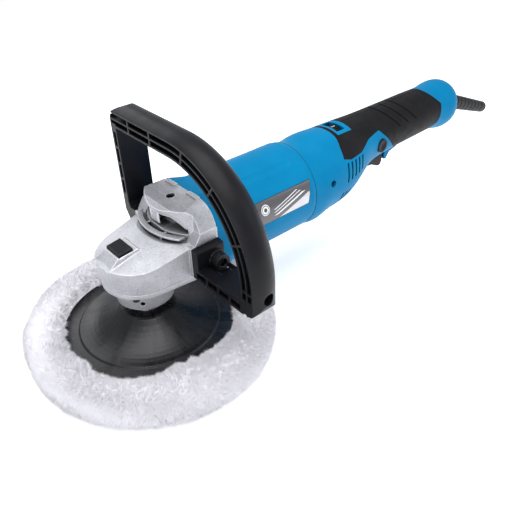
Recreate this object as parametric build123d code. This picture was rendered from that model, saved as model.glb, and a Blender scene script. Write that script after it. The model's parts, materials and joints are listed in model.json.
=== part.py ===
from build123d import *
import os
from math import acos, atan, atan2, cos, pi, radians, sin, sqrt, tan

# Rotary polisher. Millimetres. Origin: centre of the bonnet's working face, on the
# spindle axis. +Z runs up the spindle, +X runs back along the motor to the grip,
# and the D-handle's low corner is on the -Y side.

# ---- Driving dimensions ----------------------------------------------------------
MOTOR_Z = 92.5  # height of the motor axis over the working face

# gear housing
SKIRT_R = 32.0
SKIRT_LOW, SKIRT_HIGH = 75.0, 131.0
FLANGE_X = 46.0  # joint face between gear housing and motor housing
FLANGE_HALF_Y, FLANGE_HALF_Z, FLANGE_CORNER = 37.6, 36.0, 19.0
GEAR_CAVITY_R = 25.9
PAD_Y = 37.8  # handle mounting faces stand this far each side
HANDLE_BOLT_X, HANDLE_BOLT_Z = 39.0, 91.0
SIDE_THREAD_R = 3.4  # M8 tapping radius

# spindle and pad
SPINDLE_R, THREAD_R, GEAR_SEAT_R, TOP_JOURNAL_R = 7.5, 7.0, 6.0, 5.0
NECK_LOW, COVER_LOW = 53.0, 71.0
PAD_R, PAD_LOW, PAD_HIGH = 88.0, 13.0, 44.5
BONNET_R, BONNET_HIGH, BONNET_OPENING_R = 102.5, 38.0, 67.0

# bevel gears, axes crossing at the motor height
PINION_TEETH, CROWN_TEETH = 12, 43
TOOTH_SETBACK = 0.012  # share of the face width by which a crown tooth stops short of each rim
CROWN_PITCH_R = 24.5
FACE_INNER = 0.62  # inner end of the teeth, as a share of the outer end
PRESSURE_ANGLE = radians(20)
BACKLASH = 0.26
GEAR_BASE_Z, GEAR_WEB_Z = 76.0, 84.0

# motor
HOUSING_R, HOUSING_BORE_R = 38.4, 35.4
SEAM_X = 153.0  # motor housing ends, rear body starts
STACK_X0, STACK_X1 = 68.0, 118.0  # lamination stack
ROTOR_R = 20.3
SHAFT_R = 6.0
SCALLOP_R, SCALLOP_DEPTH, SCALLOP_END, SCALLOP_ANGLE = 16.0, 0.6, 134.5, radians(30.5)

# rear body sections: station along X, lowest and highest point
REAR_SECTIONS = [
    (153, 54.6, 130.2), (176, 54.8, 130.2), (196, 57.0, 130.1), (210, 60.8, 130.0),
    (222, 67.0, 130.2), (235, 74.8, 130.2), (250, 80.6, 130.2), (270, 83.0, 130.3),
    (300, 84.4, 130.5), (335, 85.2, 130.5), (352, 84.8, 130.6), (366, 82.0, 132.0),
    (376, 82.8, 131.6), (385, 88.0, 126.4),
]
REAR_WALL, COVER_SKIN = 2.8, 1.4
COVER_SEAM = 0.25  # each cover half stops this far from the middle

# D-handle, drawn in the plane across the motor
GRIP_X0, GRIP_X1 = 22.0, 46.4
LOOP_TOP_Z, LOOP_SIDE_Y = 170.2, -93.0  # inner faces of the grip
LOOP_ARC_R = 72.0
GRIP_EDGE, GRIP_BULGE, GRIP_REAR_EDGE = 12.6, 16.0, 7.5  # thickness in front, at its crest, behind
GRIP_CREST_X = 32.0
LOOP_LOW_Z = 77.5
HANDLE_CORNER_R = 12.5
ARM_Y0, ARM_Y1 = 46.5, 53.5

# controls
LOCK_X0, LOCK_X1 = -20.4, -8.8
LOCK_PIN_X, LOCK_PIN_R = -11.2, 2.3
BUTTON_LOW_Z, LOCK_FLOOR_Z = 99.8, 95.4  # the gap between them takes the button's 4 mm of travel
TRIGGER_PIVOT = (251.0, 86.0)
DIAL_Z, DIAL_R = 115.3, 13.5
SIDE_BUTTON_X, SIDE_BUTTON_Z = 254.4, 104.0

# cord boot
BOOT_START = (374.0, 111.6)
BOOT_DROOP = radians(20)
BOOT_LENGTH, BOOT_R0, BOOT_R1, BOOT_BORE = 109.0, 8.6, 6.2, 3.6

SPINDLE_TOP = 95.5
MIN_Z = (Align.CENTER, Align.CENTER, Align.MIN)


# ---- Small tools -------------------------------------------------------------------
def rod(start, end, radius):
    """Solid cylinder between two points."""
    start, end = Vector(*start), Vector(*end)
    axis = end - start
    return Plane(origin=start, z_dir=axis) * Cylinder(radius, axis.length, align=MIN_Z)


def across(x, z, y0, y1, radius):
    """Solid cylinder running across the tool."""
    return rod((x, y0, z), (x, y1, z), radius)


def cone(start, end, radius0, radius1):
    """Solid cone between two points."""
    start, end = Vector(*start), Vector(*end)
    axis = end - start
    return Plane(origin=start, z_dir=axis) * Cone(radius0, radius1, axis.length, align=MIN_Z)


def pipe(start, end, outer, inner):
    """Ring or sleeve between two points."""
    return rod(start, end, outer) - rod(start, end, inner)


def upright(radius, low, high, x=0.0, y=0.0):
    return rod((x, y, low), (x, y, high), radius)


def axial(radius, x0, x1, y=0.0, z=MOTOR_Z):
    return rod((x0, y, z), (x1, y, z), radius)


def axial_ring(outer, inner, x0, x1, y=0.0, z=MOTOR_Z):
    return axial(outer, x0, x1, y, z) - axial(inner, x0, x1, y, z)


def block(x0, x1, y0, y1, z0, z1):
    return Pos((x0 + x1) / 2, (y0 + y1) / 2, (z0 + z1) / 2) * Box(x1 - x0, y1 - y0, z1 - z0)


def side_prism(points, y0, y1):
    """Extrude an outline of (x, z) points across Y."""
    face = Plane.XZ * make_face(Polyline(*points, close=True))
    return Pos(0, (y0 + y1) / 2, 0) * extrude(face, amount=(y1 - y0) / 2, both=True)


def front_prism(points, x0, x1):
    """Extrude an outline of (y, z) points along X."""
    face = Plane.YZ * make_face(Polyline(*points, close=True))
    return Pos(x0, 0, 0) * extrude(face, amount=x1 - x0)


def turned(points):
    """Revolve an outline of (radius, z) points about the spindle axis."""
    return revolve(Plane.XZ * make_face(Polyline(*points, close=True)), Axis.Z)


def turned_axial(points):
    """Revolve an outline of (x, radius) points about the motor axis."""
    face = Plane.XZ * make_face(Polyline(*points, close=True))
    return Pos(0, 0, MOTOR_Z) * revolve(face, Axis.X)


def whole(shape):
    """One solid out of a one-solid compound."""
    return shape.solids()[0] if len(shape.solids()) == 1 else shape


def spring(start, end, coil_r, wire_r, turns):
    """Helical spring between two points, its wire inside the given length."""
    start, end = Vector(*start), Vector(*end)
    axis = end - start
    height = axis.length - 2 * wire_r
    path = Helix(pitch=height / turns, height=height, radius=coil_r)
    section = Plane(origin=path @ 0, z_dir=path % 0) * Circle(wire_r)
    return Plane(origin=start, z_dir=axis) * Pos(0, 0, wire_r) * sweep(section, path=path)


def ball_bearing(place, bore_r, outer_r, width, count):
    """Outer ring, inner ring and balls, about local Z from 0 to width."""
    pitch_r = (bore_r + outer_r) / 2
    ball_r = (outer_r - bore_r) * 0.27
    groove = Pos(0, 0, width / 2) * Torus(pitch_r, ball_r + 0.06)
    shield_gap = 0.15
    outer = upright(outer_r, 0, width) - upright(pitch_r + ball_r * 0.55, 0, width) - groove
    inner = upright(pitch_r - ball_r * 0.55, 0, width) - upright(bore_r, 0, width) - groove
    for low in (0, width - 0.6):
        shield = upright(pitch_r + ball_r * 0.55, low, low + 0.6)
        outer += shield - upright(pitch_r - ball_r * 0.55 + shield_gap, low, low + 0.6)
    balls = [
        Rot(0, 0, k * 360 / count) * Pos(pitch_r, 0, width / 2) * Sphere(ball_r)
        for k in range(count)
    ]
    return place * outer, place * inner, Compound([place * whole(b) for b in balls])


# ---- Gear housing ---------------------------------------------------------------------
def plan_outline(radius, half_width):
    """Round nose about the spindle, running tangent to the flange's half width."""
    reach = sqrt(FLANGE_X**2 + half_width**2)
    touch = atan2(half_width, FLANGE_X) + acos(radius / reach)
    tx, ty = radius * cos(touch), radius * sin(touch)
    nose = ThreePointArc((tx, ty), (-radius, 0), (tx, -ty))
    back = Polyline((tx, -ty), (FLANGE_X, -half_width), (FLANGE_X, half_width), (tx, ty))
    return make_face([nose, *back.edges()])


def flange_face(x, grow=0.0):
    plane = Plane(origin=(x, 0, MOTOR_Z), x_dir=(0, 1, 0), z_dir=(1, 0, 0))
    half_y, half_z = FLANGE_HALF_Y + grow, FLANGE_HALF_Z + grow
    return plane * RectangleRounded(2 * half_y, 2 * half_z, FLANGE_CORNER + grow)


def gear_housing_outside():
    low = Pos(0, 0, SKIRT_LOW) * plan_outline(SKIRT_R - 0.6, FLANGE_HALF_Y - 1.2)
    high = Pos(0, 0, SKIRT_HIGH) * plan_outline(SKIRT_R + 2.4, FLANGE_HALF_Y)
    body = loft([low, high], ruled=True)

    # nose: a crowned top that rises from the front ridge towards the motor
    rise, crown_r = radians(13.5), 95.0
    front_x, front_z, length = -36.0, 94.2, 100.0
    down = Vector(sin(rise), 0, -cos(rise)) * crown_r
    start = Vector(front_x, 0, front_z) + down
    run = Vector(cos(rise), 0, sin(rise)) * length
    crown = rod(start - run * 0.2, start + run, crown_r)
    nose = body & crown

    # dome: the taller part in front of the motor, with a round front wall
    dome_plan = upright(41.0, SKIRT_LOW, SKIRT_HIGH, x=58.5)
    dome = body & dome_plan & extrude(flange_face(10), amount=FLANGE_X - 10)
    dome &= side_prism([(10, 70), (10, 118), (21, 126.2), (FLANGE_X, 128.6), (FLANGE_X, 70)], -60, 60)

    # flange block behind the gear cavity
    low_front = [(31, SKIRT_LOW), (FLANGE_X, 56.5), (FLANGE_X, 128.6), (31, 127.4)]
    flange = extrude(flange_face(31), amount=FLANGE_X - 31) & side_prism(low_front, -60, 60)

    shape = nose + dome + flange

    # trough that the vent's fin stands in
    trough = upright(51.0, 103.6, 130, x=58.5) - upright(41.0, 100, 130, x=58.5)
    trough &= front_prism([(-31, 100), (31, 100), (31, 130), (-31, 130)], 0, 30)
    shape -= trough

    # boss that carries the lock button
    foot = Pos(0, 0, 94) * make_face(
        Polyline((-32, -11.5), (12, -15), (12, 15), (-32, 11.5), close=True)
    )
    top = Plane(origin=(0, 0, 103.4), x_dir=(1, 0, 0), z_dir=(-0.12, 0, 1)) * make_face(
        Polyline((-22, -9.2), (-5.5, -10.6), (-5.5, 10.6), (-22, 9.2), close=True)
    )
    shape += loft([foot, top], ruled=True)

    # side faces for the handle, with the ledge above them, and the clip tabs on top
    for side in (-1, 1):
        y0, y1 = sorted((side * 28, side * PAD_Y))
        shape += block(22, FLANGE_X, y0, y1, 77, 102.6)
        ledge = side_prism([(25, 102.8), (FLANGE_X, 102.8), (FLANGE_X, 112), (31, 112)], -38.6, 38.6)
        shape += ledge & block(20, 50, *sorted((side * 28, side * 38.6)), 100, 115)
        y0, y1 = sorted((side * 8, side * 20))
        shape += block(42.2, FLANGE_X, y0, y1, 120, 129.6)
    return shape


def gear_housing():
    shape = gear_housing_outside()
    # gear cavity, pinion passage, bush seat and front bearing seat
    shape -= upright(GEAR_CAVITY_R, 60, 91)
    shape -= axial(9.6, 0, 34)
    shape -= upright(TOP_JOURNAL_R + 2.0, 88, 96.6)
    shape -= axial(16.0, 32, FLANGE_X + 1)
    # hollow around the bearing seat, open to the motor, and the duct up to the vent
    hollow = axial_ring(33.4, 20.0, 35, FLANGE_X + 1)
    duct = axial_ring(33.0, 20.0, 18, 36) & block(18, 36, -27, 27, 107.9, 121)
    mouth = upright(60.5, 107.9, 112.4, x=58.5) & block(-1, 36, -27.5, 27.5, 107.9, 112.4)
    mouth -= axial(17.0, 0, 50)
    keep = upright(7.0, 100, 131, x=33.5)
    for side in (-1, 1):
        keep += across(HANDLE_BOLT_X, HANDLE_BOLT_Z, side * 18, side * 40, 6.4)
    for y in (-27, 27):
        for z in (MOTOR_Z - 24, MOTOR_Z + 24):
            keep += axial(4.6, 30, 50, y, z)
    shape -= (hollow + duct + mouth) - keep
    # fin across the vent with its two pillars
    fin = pipe((58.5, 0, 106.8), (58.5, 0, 108.2), 48.6, 44.4) & block(0, 40, -28, 28, 100, 115)
    shape += fin
    for angle in (-14, 16):
        rib = Pos(58.5, 0, 0) * Rot(0, 0, 180 + angle) * block(39.5, 47.6, -0.9, 0.9, 103.4, 107.0)
        shape += rib
    # lock button pocket and pin guide
    shape -= block(LOCK_X0 - 0.35, LOCK_X1 + 0.35, -9.35, 9.35, LOCK_FLOOR_Z, 112)
    shape -= upright(LOCK_PIN_R + 0.06, 88, 100, x=LOCK_PIN_X)
    shape -= upright(LOCK_PIN_R + 1.25, LOCK_FLOOR_Z, 102, x=LOCK_PIN_X)
    # threaded holes: top, sides, flange corners, cover
    shape -= upright(SIDE_THREAD_R, 114, 135, x=33.5)
    for side in (-1, 1):
        shape -= across(HANDLE_BOLT_X, HANDLE_BOLT_Z, side * 21, side * 45, SIDE_THREAD_R)
    for y, z in flange_screw_places():
        shape -= axial(2.0, 36, FLANGE_X + 1, y, z)
    for x, y in cover_screw_places():
        shape -= upright(1.5, 74, 86, x, y)
    return whole(shape)


def flange_screw_places():
    return [(y, MOTOR_Z + z) for y in (-27, 27) for z in (-24, 24)]


def cover_screw_places():
    return [(28.7 * cos(radians(a)), 28.7 * sin(radians(a))) for a in (48, 132, 228, 312)]


def gear_cover():
    plate = Pos(0, 0, COVER_LOW) * extrude(plan_outline(SKIRT_R - 0.7, FLANGE_HALF_Y - 1.2), amount=4.0)
    plate &= block(-40, 30.8, -40, 40, 60, 80)
    neck = turned([
        (0, NECK_LOW), (21.6, NECK_LOW), (22.6, NECK_LOW + 1), (24.2, COVER_LOW), (0, COVER_LOW),
    ])
    shape = plate + neck
    shape -= upright(20.0, 67.0, 76)
    shape -= upright(16.0, 58.0, 68)
    shape -= upright(12.0, NECK_LOW - 1, 59)
    shape -= rod((-11.1, -15.6, 60.2), (-18.4, -25.9, 60.2), 1.9)
    for x, y in cover_screw_places():
        shape -= upright(1.75, 70, 76, x, y)
    return whole(shape)


def cover_screws():
    screws = []
    for x, y in cover_screw_places():
        head = upright(2.6, COVER_LOW - 2.6, COVER_LOW, x, y)
        head -= block(x - 2, x + 2, y - 0.5, y + 0.5, 68, 69.4)
        screws.append(whole(head + upright(1.5, COVER_LOW, 84, x, y)))
    return Compound(screws)


def flange_screws():
    screws = []
    for y, z in flange_screw_places():
        screw = axial(2.0, 38, 54, y, z) + axial(3.6, 54, 58, y, z)
        screws.append(whole(screw - axial(1.6, 56, 58.5, y, z)))
    return Compound(screws)


# ---- Spindle ---------------------------------------------------------------------------
def output_spindle():
    shaft = turned([
        (0, 24), (THREAD_R, 24), (THREAD_R, 45), (11.6, 45), (11.6, 51), (SPINDLE_R, 51),
        (SPINDLE_R, GEAR_BASE_Z), (GEAR_SEAT_R, GEAR_BASE_Z), (GEAR_SEAT_R, 86.5),
        (TOP_JOURNAL_R - 0.04, 86.5), (TOP_JOURNAL_R - 0.04, SPINDLE_TOP), (0, SPINDLE_TOP),
    ])
    flats = block(-20, 20, 9.5, 20, 44, 52) + block(-20, 20, -20, -9.5, 44, 52)
    return whole(shaft - (flats & upright(30, 45.5, 50.9)))


def crown_gear():
    tilt = atan(PINION_TEETH / CROWN_TEETH)
    module = 2 * CROWN_PITCH_R / CROWN_TEETH
    slant = CROWN_PITCH_R / cos(tilt)
    add, ded = 0.65 * module, 1.2 * module
    apex = Vector(0, 0, MOTOR_Z)
    along, normal = Vector(cos(tilt), 0, -sin(tilt)), Vector(sin(tilt), 0, cos(tilt))
    half = pi * module / 4 - BACKLASH / 2

    def section(share):
        spot = apex + along * (slant * share)
        corners = []
        for height in (add, -ded - 0.3):
            width = (half - height * tan(PRESSURE_ANGLE)) * share
            corner = spot + normal * (height * share)
            corners.append((corner, width))
        (top, wt), (low, wl) = corners
        top_half, low_half = Vector(0, wt, 0), Vector(0, wl, 0)
        points = [top + top_half, top - top_half, low - low_half, low + low_half]
        return make_face(Polyline(*points, close=True))

    root_out = apex + along * slant - normal * ded
    root_in = apex + (along * slant - normal * ded) * FACE_INNER
    body = turned([
        (GEAR_SEAT_R, GEAR_BASE_Z), (root_out.X, GEAR_BASE_Z), (root_out.X, root_out.Z),
        (root_in.X, root_in.Z), (14.3, GEAR_WEB_Z), (GEAR_SEAT_R, GEAR_WEB_Z),
    ])
    tooth = loft([section(FACE_INNER + TOOTH_SETBACK), section(1.0 - TOOTH_SETBACK)], ruled=True)
    body = body + [Rot(0, 0, k * 360 / CROWN_TEETH) * tooth for k in range(CROWN_TEETH)]
    for k in range(4):
        x, y = LOCK_PIN_X * cos(k * pi / 2), LOCK_PIN_X * sin(k * pi / 2)
        body -= upright(LOCK_PIN_R + 0.35, 70, 90, x, y)
    return whole(body)


def gear_clip():
    ring = pipe((0, 0, GEAR_WEB_Z), (0, 0, GEAR_WEB_Z + 1.2), 8.2, GEAR_SEAT_R)
    return whole(ring - block(5, 9, -2.5, 2.5, 80, 90))


def spindle_seal():
    return whole(pipe((0, 0, NECK_LOW + 0.6), (0, 0, 57.6), 12.0, SPINDLE_R + 0.05))


def top_bush():
    return whole(pipe((0, 0, 89.6), (0, 0, 96.4), TOP_JOURNAL_R + 2.0, TOP_JOURNAL_R))


def pad_hub():
    body = turned([
        (THREAD_R, 19), (22, 19), (22, 22), (13, 23.5), (13, 45), (THREAD_R, 45),
    ])
    return whole(body)


def backing_pad():
    steps = 9
    shares = [k / steps for k in range(steps + 1)]
    rise = [(56.0 - 33.4 * t, 27.2 + (PAD_HIGH - 1.2 - 27.2) * t ** 1.8) for t in shares]
    body = turned([
        (0, PAD_LOW), (PAD_R - 1, PAD_LOW), (PAD_R, PAD_LOW + 1), (PAD_R, 20.5), (PAD_R - 1, 21.5),
        (72, 23.8), (57.2, 26.0), *rise, (20.5, PAD_HIGH), (13, PAD_HIGH), (13, 23.5), (22, 22),
        (22, 19),
        (0, 19),
    ])
    return whole(body)


def wool_bonnet():
    gap = 0.3
    inner = [
        (0, PAD_LOW - gap), (PAD_R - 0.6, PAD_LOW - gap), (PAD_R + gap, PAD_LOW + 0.4),
        (PAD_R + gap, 21.0), (PAD_R - 0.6, 22.0), (BONNET_OPENING_R + 4, 24.6), (BONNET_OPENING_R, 26.4),
    ]
    outer = [
        (BONNET_OPENING_R + 1.5, 32.5), (BONNET_OPENING_R + 8, 36.6), (84, BONNET_HIGH), (92, 36.4),
        (98.6, 31.5), (102, 24.5), (BONNET_R, 17.5), (101, 9.5), (97, 3.8), (90.5, 0.7), (85, 0), (0, 0),
    ]
    body = turned(inner + outer)
    return whole(body - Pos(0, 0, 30) * Torus(BONNET_OPENING_R + 7, 1.6))


def drawstring():
    return whole(Pos(0, 0, 30) * Torus(BONNET_OPENING_R + 7, 1.3))


# ---- Lock button -------------------------------------------------------------------------
def lock_button():
    cap = side_prism(
        [(LOCK_X0, BUTTON_LOW_Z), (LOCK_X1, BUTTON_LOW_Z), (LOCK_X1, 104.2), (LOCK_X0, 102.7)], -9.0, 9.0
    )
    shape = cap
    for k in range(7):
        x = LOCK_X0 + 1.6 + k * 1.4
        shape -= block(x, x + 0.5, -7.6, 7.6, 102.6 + k * 0.18, 106)
    return whole(shape)


def lock_pin():
    return whole(upright(LOCK_PIN_R, 86.3, BUTTON_LOW_Z, x=LOCK_PIN_X))


def lock_spring():
    return whole(spring(
        (LOCK_PIN_X, 0, LOCK_FLOOR_Z), (LOCK_PIN_X, 0, BUTTON_LOW_Z), LOCK_PIN_R + 0.7, 0.32, 3))


# ---- Armature -----------------------------------------------------------------------------
def pinion_outline():
    """Involute teeth in the plane across the pinion, at its outer end."""
    module = 2 * CROWN_PITCH_R / CROWN_TEETH
    pitch_r = module * PINION_TEETH / 2
    base_r = pitch_r * cos(PRESSURE_ANGLE)
    tip_r, root_r = pitch_r + 0.9 * module, pitch_r - 0.92 * module
    half_angle = pi / (2 * PINION_TEETH) - BACKLASH / (2 * pitch_r)

    def spread(radius):
        roll = sqrt(max((radius / base_r) ** 2 - 1, 0))
        pitch_roll = sqrt((pitch_r / base_r) ** 2 - 1)
        return half_angle + (pitch_roll - atan(pitch_roll)) - (roll - atan(roll))

    steps = 4
    radii = [root_r, base_r] + [base_r + (tip_r - base_r) * k / steps for k in range(1, steps + 1)]
    flank = [(r, spread(r)) for r in radii]
    points = []
    for k in range(PINION_TEETH):
        # a space between two teeth faces straight down at the crown gear
        centre = -pi / 2 + (k + 0.5) * 2 * pi / PINION_TEETH
        for r, a in flank:
            points.append((r * cos(centre - a), r * sin(centre - a)))
        for r, a in reversed(flank):
            points.append((r * cos(centre + a), r * sin(centre + a)))
    return points


def bevel_pinion():
    outline = pinion_outline()

    def section(share):
        points = [(y * share, z * share) for y, z in outline]
        plane = Plane(origin=(CROWN_PITCH_R * share, 0, MOTOR_Z), x_dir=(0, 1, 0), z_dir=(1, 0, 0))
        return plane * make_face(Polyline(*points, close=True))

    teeth = loft([section(FACE_INNER), section(1.0)], ruled=True)
    shape = teeth + axial(5.6, CROWN_PITCH_R, 30.5)
    return whole(shape - axial(2.4, 10, 31))


def armature_shaft():
    return whole(turned_axial([
        (14.4, 0), (14.4, 2.4), (30.5, 2.4), (30.5, SHAFT_R), (129, SHAFT_R), (129, 5.0),
        (149.6, 5.0), (149.6, 4.0), (158, 4.0), (158, 0),
    ]))


def rotor_core():
    core = axial_ring(ROTOR_R, SHAFT_R, STACK_X0, STACK_X1)
    slots = [
        Pos(0, 0, MOTOR_Z) * Rot(k * 30, 0, 0) * block(STACK_X0 - 1, STACK_X1 + 1, -1.5, 1.5, 12, 22)
        for k in range(12)
    ]
    return whole(core - slots)


def rotor_windings():
    rings = []
    for x0, x1 in ((61.5, STACK_X0), (STACK_X1, 126.5)):
        low, high = SHAFT_R, 18.6
        mid = (x0 + x1) / 2
        outline = [(x0, low), (x0, high - 3), (x0 + 2, high - 0.6), (mid, high), (x1 - 2, high - 0.6),
                   (x1, high - 1.5 if x1 == STACK_X0 else high - 3), (x1, low)]
        rings.append(turned_axial(outline))
    bars = [
        Pos(0, 0, MOTOR_Z) * Rot(k * 30, 0, 0) * block(STACK_X0, STACK_X1, -1.5, 1.5, 12.1, 16.6)
        for k in range(12)
    ]
    return whole(rings[0] + rings[1] + bars)


def commutator():
    drum = axial_ring(12.6, 5.0, 130, 146) + axial_ring(14.4, 5.0, 129.2, 131.2)
    cuts = [
        Pos(0, 0, MOTOR_Z) * Rot(k * 15, 0, 0) * block(129, 147, -0.2, 0.2, 11.6, 15)
        for k in range(24)
    ]
    return whole(drum - cuts)


def cooling_fan():
    hub = axial_ring(10.0, SHAFT_R, 48.5, 59)
    disc = axial_ring(31.5, SHAFT_R, 57, 59)
    blades = [
        Pos(0, 0, MOTOR_Z) * Rot(k * 36, 0, 0) * Pos(0, 4, 0) * block(50, 57.2, -0.8, 0.8, 9, 30.6)
        for k in range(10)
    ]
    return whole(hub + disc + blades)


# ---- Motor housing and stator ------------------------------------------------------------
def motor_housing():
    front = loft([
        flange_face(FLANGE_X),
        flange_face(52),
        Plane(origin=(66, 0, MOTOR_Z), x_dir=(0, 1, 0), z_dir=(1, 0, 0))
        * RectangleRounded(2 * HOUSING_R, 2 * HOUSING_R, HOUSING_R - 0.05),
    ], ruled=True)
    barrel = axial(HOUSING_R, 66, 149)
    barrel += cone((149, 0, MOTOR_Z), (SEAM_X, 0, MOTOR_Z), HOUSING_R, HOUSING_R - 0.9)
    shape = front + barrel
    for side in (-1, 1):
        shape -= scallop(side)
    shape -= axial(HOUSING_BORE_R, FLANGE_X - 1, 148)
    # shoulder that the stator stands against
    shape += axial_ring(HOUSING_BORE_R + 0.5, 31.0, 63, STACK_X0)
    # corner pillars for the flange screws
    pillars = Compound([whole(axial(4.6, FLANGE_X, 54, y, z)) for y, z in flange_screw_places()])
    shape += [p & axial(HOUSING_BORE_R + 2.0, FLANGE_X, 54) for p in pillars.solids()]
    for y, z in flange_screw_places():
        shape -= axial(2.15, FLANGE_X - 1, 54.1, y, z)
        shape -= axial(3.9, 54, 59, y, z)
    # rear wall with the bearing seat and four air openings
    shape += axial_ring(14.5, 11.0, 148, 157.4)
    shape -= axial(33.5, 151, SEAM_X + 1) - axial(14.5, 151, SEAM_X + 1)
    shape -= axial(11.0, 149.8, 158)
    shape -= axial(8.0, 147, 150)
    air = axial_ring(31.0, 17.5, 147, 152)
    spokes = block(146, 153, -60, 60, MOTOR_Z - 3, MOTOR_Z + 3) + block(146, 153, -3, 3, 30, 160)
    shape -= air - spokes
    # stator screw threads
    for side in (-1, 1):
        shape -= axial(1.7, 62, STACK_X0 + 1, 0, MOTOR_Z + side * 33.2)
    # seats for the side labels
    for side in (-1, 1):
        shape -= label_patch(side, HOUSING_R - 0.35, HOUSING_R + 2, 0.25)
    return whole(shape)


def scallop(side):
    """Shallow groove that runs along the upper flank and ends round."""
    reach = HOUSING_R + SCALLOP_R - SCALLOP_DEPTH
    y, z = side * reach * sin(SCALLOP_ANGLE), MOTOR_Z + reach * cos(SCALLOP_ANGLE)
    return axial(SCALLOP_R, 40, SCALLOP_END, y, z) + Pos(SCALLOP_END, y, z) * Sphere(SCALLOP_R)


def label_patch(side, inner, outer, grow=0.0):
    high, low = 111.5 + grow, 93 - grow
    outline = [(82 - grow, high), (147.4 + grow, high), (142.4 + grow, low), (87 - grow, low)]
    zone = side_prism(outline, *sorted((side * 20, side * 60)))
    return axial_ring(outer, inner, 80, 148.5) & zone


def side_labels():
    return Compound([whole(label_patch(side, HOUSING_R - 0.35, HOUSING_R + 0.1)) for side in (-1, 1)])


def stator_core():
    ring = axial(HOUSING_BORE_R - 0.1, STACK_X0, STACK_X1)
    ring -= axial(ROTOR_R + 0.5, STACK_X0 - 1, STACK_X1 + 1)
    windows = axial_ring(29.4, 22.4, STACK_X0 - 1, STACK_X1 + 1)
    poles = front_prism([(-60, -74), (0, 0), (60, -74)], 60, 130)
    poles += front_prism([(-60, 74), (0, 0), (60, 74)], 60, 130)
    ring -= windows - Pos(0, 0, MOTOR_Z) * poles
    for side in (-1, 1):
        ring -= axial(1.9, STACK_X0 - 1, STACK_X1 + 1, 0, MOTOR_Z + side * 33.2)
    return whole(ring)


def field_coils():
    full = axial_ring(28.8, 23.0, 61, 126)
    coils = []
    for side in (-1, 1):
        near, far = side * 3.0, side * 60
        sector = front_prism([(-60, near), (60, near), (60, far), (-60, far)], 55, 130)
        wedge = [(-62, side * 74), (0, side * -1.6), (62, side * 74)]
        pole = front_prism(wedge, STACK_X0 - 1.2, STACK_X1 + 1.2)
        coils.append(whole(full & Pos(0, 0, MOTOR_Z) * sector - Pos(0, 0, MOTOR_Z) * pole))
    return Compound(coils)


def stator_screws():
    screws = []
    for side in (-1, 1):
        z = MOTOR_Z + side * 33.2
        screws.append(whole(axial(1.7, 64, STACK_X1, 0, z) + axial(2.0, STACK_X1, STACK_X1 + 2.5, 0, z)))
    return Compound(screws)


def brush_yoke():
    ring = axial_ring(HOUSING_BORE_R - 0.1, 30.5, 131, 145)
    for side in (-1, 1):
        ring -= block(133.9, 142.1, *sorted((side * 20, side * 40)), MOTOR_Z - 6.1, MOTOR_Z + 6.1)
    return whole(ring)


def brush_holders():
    holders = []
    for side in (-1, 1):
        y0, y1 = sorted((side * 14.0, side * 34.0))
        shell = block(134, 142, y0, y1, MOTOR_Z - 6, MOTOR_Z + 6)
        inside = block(134.9, 141.1, *sorted((side * 13.0, side * 33.2)), MOTOR_Z - 5.1, MOTOR_Z + 5.1)
        holders.append(whole(shell - inside))
    return Compound(holders)


def carbon_brushes():
    brushes = []
    for side in (-1, 1):
        brush = block(135, 141, *sorted((side * 11.5, side * 24)), MOTOR_Z - 5, MOTOR_Z + 5)
        brushes.append(whole(brush - axial(12.65, 130, 146)))
    return Compound(brushes)


def brush_springs():
    return Compound([
        whole(spring((138, side * 24.0, MOTOR_Z), (138, side * 33.1, MOTOR_Z), 2.2, 0.4, 5))
        for side in (-1, 1)
    ])


# ---- Rear body -----------------------------------------------------------------------------
def rear_form(inset):
    """Round sections whose top stays level while the underside rises to the grip."""
    faces = []
    for x, low, high in REAR_SECTIONS:
        plane = Plane(origin=(x, 0, (low + high) / 2), x_dir=(0, 1, 0), z_dir=(1, 0, 0))
        faces.append(plane * Circle((high - low) / 2 - inset))
    return loft(faces)


COVER_OUTLINE = [
    (199.4, 133), (198.8, 127), (194.8, 121), (193, 113), (202, 110.2), (219, 111), (234, 116.6),
    (252, 119), (262, 110), (275, 97), (290, 86), (294, 78), (335, 78), (340, 86), (350, 98),
    (352, 118), (337, 133),
]


def cover_zone():
    return side_prism(COVER_OUTLINE, -60, 60) - dial_frame_zone()


def dial_frame_zone():
    return block(203.2, 221.0, -13.8, 13.8, 115, 140)


def side_vent_slots():
    slots = []
    for k in range(5):
        x, low = 195.5 + 5.6 * k, 91.5 + k
        outline = [(x, 108.5), (x + 2.2, 109), (x + 0.4, low + 0.5), (x - 1.8, low)]
        slots.append(side_prism(outline, -60, 60))
    for k in range(3):
        x, low = 190 + 5.0 * k, 70.5 + k
        outline = [(x, 82), (x + 2.2, 82.5), (x + 1.8, low + 0.5), (x - 0.4, low)]
        slots.append(side_prism(outline, -60, 60))
    return slots


def shell_screw_places():
    """(x, z, side that the head is on)."""
    return [(174.5, 98.3, -1), (184, 66, -1), (240, 88, 1), (304, 99, 1), (361, 95, 1)]


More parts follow.
